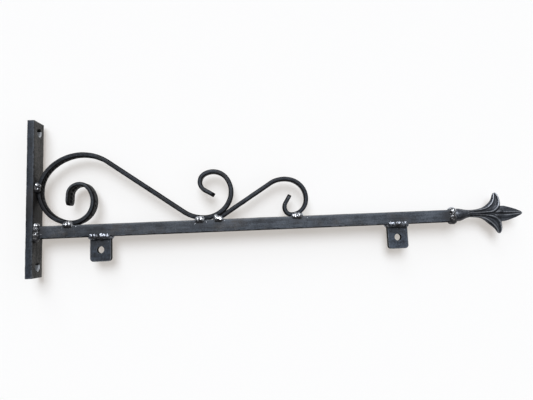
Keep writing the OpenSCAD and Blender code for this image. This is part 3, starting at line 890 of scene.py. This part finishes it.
# Outlines of the leaves and the blade, in millimetres: distance along the arm from the
# finial's joint, and height above the arm's axis
LEAF_BACK = ((22, 5.6), (27.4, 6.9), (34, 7.4), (39.7, 8.4), (43.9, 9.6), (48.1, 11.9), (52.4, 15.2),
             (55.2, 18.2), (57.0, 21.2), (58.7, 25.6), (60.6, 28.2))
LEAF_FRONT = ((22, 1.8), (30, 1.9), (40, 1.9), (50, 1.8), (57, 2.1), (61.8, 3.4), (65.4, 6.4), (67.7, 10),
              (68.3, 14), (68.0, 18.5), (67.0, 23), (65.2, 27), (62.6, 29.0))
LOWER_BACK = ((22, 3.8), (27, 4.1), (33, 4.6), (38.5, 5.4), (42.4, 6.8), (46.4, 9.8), (49.4, 12.6),
              (52.6, 15.3), (56, 18.2), (59, 21.4), (60.7, 24.2), (62.6, 26.4))
LOWER_FRONT = ((22, 1.0), (30, 1.0), (40, 1.0), (50, 1.1), (57, 1.9), (62, 3.6), (66, 6.6), (68.0, 10),
               (68.3, 13), (68.4, 17), (68.1, 20.6), (67.2, 23.6), (65.7, 26), (64.2, 26.9))
BLADE_EDGE = ((56, 3.8), (62, 8.4), (67, 10.1), (72.3, 10.2), (76, 9.4), (80, 8.3), (84, 7.0),
              (87.8, 5.7), (91.7, 4.0), (94.5, 2.7), (96.3, 1.6))


def curve_through(points, count):
    """Evenly spaced points on a smooth curve through the given ones."""
    p = np.array([points[0], *points, points[-1]], float)
    dense = []
    for k in range(1, len(p) - 2):
        for t in np.linspace(0, 1, 24, endpoint=False):
            dense.append(0.5 * (2 * p[k] + (p[k + 1] - p[k - 1]) * t
                                + (2 * p[k - 1] - 5 * p[k] + 4 * p[k + 1] - p[k + 2]) * t ** 2
                                + (3 * p[k] - p[k - 1] - 3 * p[k + 1] + p[k + 2]) * t ** 3))
    dense = np.array([*dense, p[-1]])
    run = np.concatenate([[0], np.cumsum(np.linalg.norm(np.diff(dense, axis=0), axis=1))])
    even = np.linspace(0, run[-1], count)
    return np.stack([np.interp(even, run, dense[:, i]) for i in (0, 1)], 1)


def relief_plate(back, front, profile, base):
    """A plate between two edge curves, its faces raised and hollowed across by a profile."""
    long, wide = 70, 36
    a, b = curve_through(back, long + 1), curve_through(front, long + 1)
    obj = started(bpy.ops.mesh.primitive_grid_add, x_subdivisions=long, y_subdivisions=wide, size=1)
    for v in obj.data.vertices:
        u, w = v.co.x + 0.5, v.co.y + 0.5
        k = round(u * long)
        x, z = a[k] * (1 - w) + b[k] * w
        v.co = (base.x + x * MM, -profile(u, w) * MM, base.z + z * MM)
    activate(obj)
    bpy.ops.object.duplicate()
    other = bpy.context.object
    for v in other.data.vertices:
        v.co.y *= -1
    both = join([obj, other])
    open_mesh(both)
    bpy.ops.mesh.select_non_manifold(extend=False, use_wire=False, use_boundary=True,
                                     use_multi_face=False, use_non_contiguous=False, use_verts=False)
    bpy.ops.mesh.bridge_edge_loops()
    leave_outward()
    return both


def bump(w, middle, reach):
    """A smooth hump of height 1 at the middle, fading to nothing at the reach."""
    t = abs(w - middle) / reach
    return 0.0 if t >= 1 else (1 - t * t) ** 2


class BRACKET_OT_finial(bpy.types.Operator):
    """Model the cast finial: a round base, two curled leaves with raised rims and a blade"""

    bl_idname = "bracket.finial"
    bl_label = "Finial"

    def execute(self, context):
        joint = Vector((ARM[1].x, 0, ARM_AXIS))

        # The base and neck are turned from one profile
        last = 59
        ring = curve_through(CORE, last + 1)
        core = started(bpy.ops.mesh.primitive_grid_add, x_subdivisions=last, y_subdivisions=1, size=1)
        mesh = open_mesh(core, "VERT")
        pick(core, mesh.verts, lambda v: v.co.y > 0)
        bpy.ops.mesh.delete(type="VERT")
        mesh = bmesh.from_edit_mesh(core.data)
        for v in mesh.verts:
            x, r = ring[round((v.co.x + 0.5) * last)]
            v.co = (joint.x + x * MM, 0, joint.z + (CORE_LIFT + r) * MM)
        bmesh.update_edit_mesh(core.data)
        bpy.ops.mesh.select_all(action="SELECT")
        axis = (joint.x, 0, joint.z + CORE_LIFT * MM)
        bpy.ops.mesh.spin(steps=48, angle=math.tau, center=axis, axis=(1, 0, 0))
        bpy.ops.mesh.select_all(action="SELECT")
        bpy.ops.mesh.remove_doubles(threshold=0.01 * MM)
        bpy.ops.mesh.fill_holes(sides=0)
        leave_outward()
        for v in core.data.vertices:
            v.co.z += 1.1 * MM * bump((v.co.x - joint.x) / MM, 27, 14)

        def leaf(u, w):
            """Half thickness of a leaf: raised rims near both edges and a hollow between them."""
            rims = 1.9 * bump(w, 0.19, 0.17) + 2.4 * bump(w, 0.77, 0.22)
            fall = min(1, (w + 0.03) / 0.08, (1.03 - w) / 0.08) ** 0.5
            return (1.3 + 2.2 * (1 - u) ** 3 + rims * (1 - u ** 10)) * fall * (1 - 0.15 * u ** 3)

        def blade(u, w):
            """Half thickness of the blade: two ridges beside a groove, and veins along its flanks."""
            v, rise = abs(2 * w - 1), min(1, u / 0.32)
            ridge = 3.6 * (1 - v) + 0.9 * (1 - v ** 4)
            ridge = ridge - 3.2 * bump(v, 0, 0.2) - 0.4 * bump(v, 0.62, 0.16)
            return max(0.75, ridge * (1 - 0.4 * u) * rise * rise * (3 - 2 * rise) - 0.1)

        def lower(points):
            """The points of the lower leaf, whose heights are measured downwards."""
            return [(x, LOWER_LIFT - z) for x, z in points]

        parts = [core, relief_plate(LEAF_BACK, LEAF_FRONT, leaf, joint),
                 relief_plate(lower(LOWER_BACK), lower(LOWER_FRONT), leaf, joint),
                 relief_plate([(x, BLADE_LIFT + z) for x, z in BLADE_EDGE],
                              [(x, BLADE_LIFT - z) for x, z in BLADE_EDGE], blade, joint)]
        obj = join(parts)
        apply(obj, "REMESH", mode="VOXEL", voxel_size=0.36 * MM)
        apply(obj, "SMOOTH", factor=0.5, iterations=2)
        roughen(obj, 0.25 * MM, 6 * MM)
        roughen(obj, 0.08 * MM, 1.6 * MM)
        shaded = [(joint + Vector(spot) * MM, reach * MM, depth) for spot, reach, depth in SHADED]
        mark_wear_and_shade(obj, 1.2 * MM, 2, shaded)
        # Painted shade: the sides take the dark side scale, as dark outlines
        face_finish(obj, lambda n: abs(n.y) < 0.4, "Cast steel", "Side scale")
        hand_over(obj, "cast_finial", "finial")
        return {"FINISHED"}


# Weld beads


def row_behind(first_x, last_x):
    """The row of lumps of a bead behind a curl, in millimetres."""
    return [((first_x, 6.6, -35.6), (last_x, 6.6, -35.4), 3.0, 4, 0.7)]


# Rows of lumps for each bead, in millimetres: (first, last, radii, number of lumps, flatness)
WELD_ROWS = {
    "plate_scroll_weld_front": [((10.7, -6.4, 11.0), (11.7, -6.9, 15.0), (3.0, 4.2), 3, 0.75)],
    "plate_scroll_weld_back": [((10.5, 6.4, 10.4), (10.5, 6.4, 15.8), 2.9, 4, 0.6)],
    "arm_weld_front": [((10.8, -7.6, -53.0), (11.2, -8.3, -35.2), (2.7, 3.8), 9, 0.7)],
    "arm_weld_back": [((10.4, 8.2, -48.5), (10.4, 8.2, -38.3), 3.0, 6, 0.6)],
    "big_curl_weld_front": [((45.2, -6.8, -35.6), (53.6, -6.8, -35.2), 3.9, 4, 0.8)],
    "big_curl_weld_back": row_behind(46.5, 52.5),
    "mid_curl_weld_front": [((211.6, -6.8, -36.8), (215.4, -6.8, -34.4), (3.1, 3.5), 4, 0.8)],
    "mid_curl_weld_back": row_behind(211, 217),
    "foot_weld_front": [((234.6, -6.8, -32.6), (240.4, -6.8, -37.0), (3.6, 2.9), 5, 0.8)],
    "foot_weld_back": row_behind(234.6, 240.6),
    "end_curl_weld_front": [((333.6, -6.8, -35.8), (343.2, -6.8, -35.2), 3.7, 5, 0.8)],
    "end_curl_weld_back": row_behind(335.2, 342),
    "inner_lug_weld": [((76.4, -4.6, -50.6), (100.6, -4.6, -50.6), 4.4, 17, 0.42),
                       ((76.4, 4.6, -50.6), (100.6, 4.6, -50.6), 4.3, 11, 0.42)],
    "outer_lug_weld": [((457, -4.6, -50.6), (480, -4.6, -50.6), 4.5, 11, 0.6),
                       ((457, 4.6, -50.6), (480, 4.6, -50.6), 4.3, 7, 0.6)],
    "finial_weld_front": [((539.6, -6.8, -51.2), (540.2, -6.8, -35.6), 3.6, 6, 0.75),
                          ((540, -1.5, -35.4), (540, -6.4, -36.4), 2.9, 3, 0.8),
                          ((540, -1.5, -51.4), (540, -6.4, -50.4), 2.9, 3, 0.8)],
    "finial_weld_back": [((541, 6.4, -49.2), (541, 6.4, -37.6), 2.9, 5, 0.7)],
}
# Drops of spatter round some beads, in millimetres: (place, radius)
SPATTER = {
    "mid_curl_weld_front": [((208.2, -8.0, -40.6), 0.9), ((222.4, -8.0, -38.6), 0.6)],
    "foot_weld_front": [((246.0, -8.0, -38.2), 0.7)],
    "end_curl_weld_front": [((348.0, -8.0, -37.8), 1.0), ((351.0, -8.0, -38.4), 0.5)],
    "big_curl_weld_front": [((59.6, -8.0, -38.0), 0.8), ((42.0, -8.0, -39.0), 0.5)],
    "outer_lug_weld": [((469.2, -3.0, -57.0), 0.7), ((478.0, -3.0, -58.6), 0.6)],
    "inner_lug_weld": [((98.4, -3.0, -58.2), 0.5)],
    "arm_weld_front": [((17.6, -8.0, -46.0), 0.6), ((18.4, -8.0, -39.0), 0.4)],
}
# The finish of each bead that is not bright
LOOKS = {"inner_lug_weld": "Dull bead", "outer_lug_weld": "Dull bead", "arm_weld_front": "Spotted bead",
         "plate_scroll_weld_front": "Spotted bead", "finial_weld_front": "Spotted bead",
         "finial_weld_back": "Spotted bead"}


class BRACKET_OT_welds(bpy.types.Operator):
    """Model the weld beads, each a row of lumps run together over the part's own bead"""

    bl_idname = "bracket.welds"
    bl_label = "Weld Beads"

    def lump(self, place, scale, turn):
        """One soft lump of weld metal."""
        return started(bpy.ops.mesh.primitive_ico_sphere_add, subdivisions=3, radius=MM, scale=scale,
                       rotation=turn, location=[c * MM for c in place])

    def execute(self, context):
        size = context.scene.bracket_welds
        for number, (node, rows) in enumerate(WELD_ROWS.items()):
            chance = random.Random(size.seed * 100 + number)
            start_clean()
            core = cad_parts[node].copy()
            core.data = core.data.copy()
            core.parent = None
            for key in list(core.keys()):
                del core[key]
            bpy.context.scene.collection.objects.link(core)
            core.data.materials.clear()
            open_mesh(core, "VERT")
            bpy.ops.mesh.select_all(action="SELECT")
            bpy.ops.mesh.remove_doubles(threshold=0.01 * MM)
            bpy.ops.object.mode_set(mode="OBJECT")
            apply(core, "REMESH", mode="VOXEL", voxel_size=size.voxel)
            parts = [core]
            for first, last, radii, count, flat in rows:
                near, far = radii if isinstance(radii, tuple) else (radii, radii)
                first, last = Vector(first), Vector(last)
                along = (last - first).normalized()
                for k in range(count):
                    share = k / (count - 1)
                    spot = first.lerp(last, share) + Vector(
                        [chance.uniform(-0.35, 0.35) for _ in range(3)])
                    reach = (near * (1 - share) + far * share) * chance.uniform(0.86, 1.08)
                    turn = along.to_track_quat("Z", "Y").to_euler()
                    turn = Euler([a + chance.uniform(-0.3, 0.3) for a in turn])
                    parts.append(self.lump(spot, (reach, reach, reach * flat), turn))
            for place, radius in SPATTER.get(node, ()):
                parts.append(self.lump(place, (radius, radius * 0.7, radius), (0, 0, 0)))
            obj = join(parts)
            apply(obj, "REMESH", mode="VOXEL", voxel_size=size.voxel)
            roughen(obj, size.lumpiness, 2.8 * MM)
            roughen(obj, size.lumpiness * 0.2, 1.1 * MM)
            apply(obj, "SMOOTH", factor=0.5, iterations=3)
            low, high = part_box(node)
            # Painted shade: the bead is darkened towards its lowest front point
            foot = ((low.x + high.x) / 2, low.y, low.z)
            mark_wear_and_shade(obj, 0.5 * MM, 2, [(foot, max(7 * MM, 0.55 * (high.z - low.z)), 0.3)])
            obj.data.materials.append(bpy.data.materials[LOOKS.get(node, "Bright bead")])
            hand_over(obj, node.replace("weld", "bead"), node)
        return {"FINISHED"}


# Stage


class BRACKET_OT_stage(bpy.types.Operator):
    """Set up the white surface behind the bracket, the soft lamps and the camera"""

    bl_idname = "bracket.stage"
    bl_label = "Stage"

    def execute(self, context):
        stage = context.scene.bracket_stage
        backdrop = started(bpy.ops.mesh.primitive_plane_add, size=4, rotation=(math.pi / 2, 0, 0),
                           location=(0.3, PLATE[1].y + stage.gap, 0))
        backdrop.name = "backdrop"
        backdrop.data.materials.append(self.paper())

        # Each lamp: name, strength, width in degrees, and the direction that it shines from
        lamps = (("window", stage.key, 38, (-0.07, -0.87, 0.46)),
                 ("right wall", stage.side, 110, (0.46, -0.86, 0.24)),
                 ("ceiling", stage.top, 30, (-0.22, -0.50, 0.84)),
                 ("behind", stage.back, 70, (0.15, 0.96, 0.22)))
        for name, strength, width, source in lamps:
            turn = Vector(source).to_track_quat("Z", "Y").to_euler()
            bpy.ops.object.light_add(type="SUN", rotation=turn)
            lamp = context.object
            lamp.name = name
            lamp.data.energy = strength
            lamp.data.angle = math.radians(width)

        world = context.scene.world or bpy.data.worlds.new("Room")
        context.scene.world = world
        add = blank_nodes(world)
        seen = add("LightPath").outputs["Is Camera Ray"]
        light = add("Background", {"Color": (1, 1, 1, 1), "Strength": between(add, seen, stage.world, 1.0)})
        add("OutputWorld", {0: light.outputs[0]})

        bpy.ops.object.camera_add(location=stage.camera)
        camera = context.object
        pitch, roll, yaw = (math.radians(a) for a in stage.turn)
        to_camera = (Matrix.Rotation(-roll, 3, "Z") @ Matrix.Rotation(-pitch, 3, "X")
                     @ Matrix(((math.cos(yaw), 0, -math.sin(yaw)), (0, 1, 0),
                               (math.sin(yaw), 0, math.cos(yaw))))
                     @ Matrix(((1, 0, 0), (0, 0, -1), (0, 1, 0))))
        right, down, ahead = to_camera
        camera.rotation_euler = Matrix((right, -down, -ahead)).transposed().to_euler()
        camera.data.lens = stage.focal
        camera.data.sensor_width = 36
        camera.data.clip_start = 0.01
        context.scene.camera = camera
        context.scene.view_settings.view_transform = "Standard"
        return {"FINISHED"}

    def paper(self):
        """White paper that shows the soft shadow in front and can be looked through from behind."""
        material = bpy.data.materials.new("White surface")
        add = blank_nodes(material)
        path = add("LightPath").outputs
        matte = add("BsdfDiffuse", {"Color": (0.40, 0.39, 0.38, 1)}).outputs[0]
        shown = add("BsdfDiffuse", {"Color": (0.542, 0.577, 0.615, 1)}).outputs[0]
        lift = add("Emission", {"Color": (0.406, 0.371, 0.336, 1), "Strength": 1.0}).outputs[0]
        lifted = add("AddShader", {0: shown, 1: lift}).outputs[0]
        seen = calculate(add, "MAXIMUM", path["Is Camera Ray"], path["Is Glossy Ray"])
        seen = calculate(add, "MAXIMUM", seen, path["Is Transmission Ray"])
        front = add("MixShader", {0: seen, 1: matte, 2: lifted}).outputs[0]
        behind = add("NewGeometry").outputs["Backfacing"]
        clear = calculate(add, "MAXIMUM", behind, path["Is Shadow Ray"])
        sheet = add("MixShader", {0: clear, 1: front, 2: add("BsdfTransparent").outputs[0]})
        add("OutputMaterial", {0: sheet.outputs[0]})
        return material


# Panel and start

STEPS = (BRACKET_OT_finishes, BRACKET_OT_plate, BRACKET_OT_arm, BRACKET_OT_lugs, BRACKET_OT_scrolls,
         BRACKET_OT_finial, BRACKET_OT_welds, BRACKET_OT_stage)
GROUPS = {"bracket_sizes": BracketSizes, "bracket_scrolls": BracketScrolls,
          "bracket_welds": BracketWelds, "bracket_colours": BracketColours,
          "bracket_stage": BracketStage}


class BRACKET_PT_panel(bpy.types.Panel):
    """Sizes, colours and steps of the bracket"""

    bl_idname = "BRACKET_PT_panel"
    bl_label = "Hanging Sign Bracket"
    bl_space_type = "VIEW_3D"
    bl_region_type = "UI"
    bl_category = "Bracket"

    def draw(self, context):
        for step in STEPS:
            self.layout.operator(step.bl_idname)
        for name in GROUPS:
            group = getattr(context.scene, name)
            box = self.layout.box()
            for prop in group.bl_rna.properties:
                if prop.identifier not in ("rna_type", "name"):
                    box.prop(group, prop.identifier)


def register():
    """Make the panel, its properties and the steps known to Blender."""
    for cls in (*GROUPS.values(), *STEPS, BRACKET_PT_panel):
        bpy.utils.register_class(cls)
    for name, cls in GROUPS.items():
        setattr(bpy.types.Scene, name, PointerProperty(type=cls))


def unregister():
    """Take them away again."""
    for name in GROUPS:
        delattr(bpy.types.Scene, name)
    for cls in reversed((*GROUPS.values(), *STEPS, BRACKET_PT_panel)):
        bpy.utils.unregister_class(cls)


def main():
    """Build the bracket and its stage."""
    register()
    bpy.ops.bracket.finishes()
    bpy.ops.bracket.plate()
    bpy.ops.bracket.arm()
    bpy.ops.bracket.lugs()
    bpy.ops.bracket.scrolls()
    bpy.ops.bracket.finial()
    bpy.ops.bracket.welds()
    bpy.ops.bracket.stage()


if __name__ == "__main__":
    main()
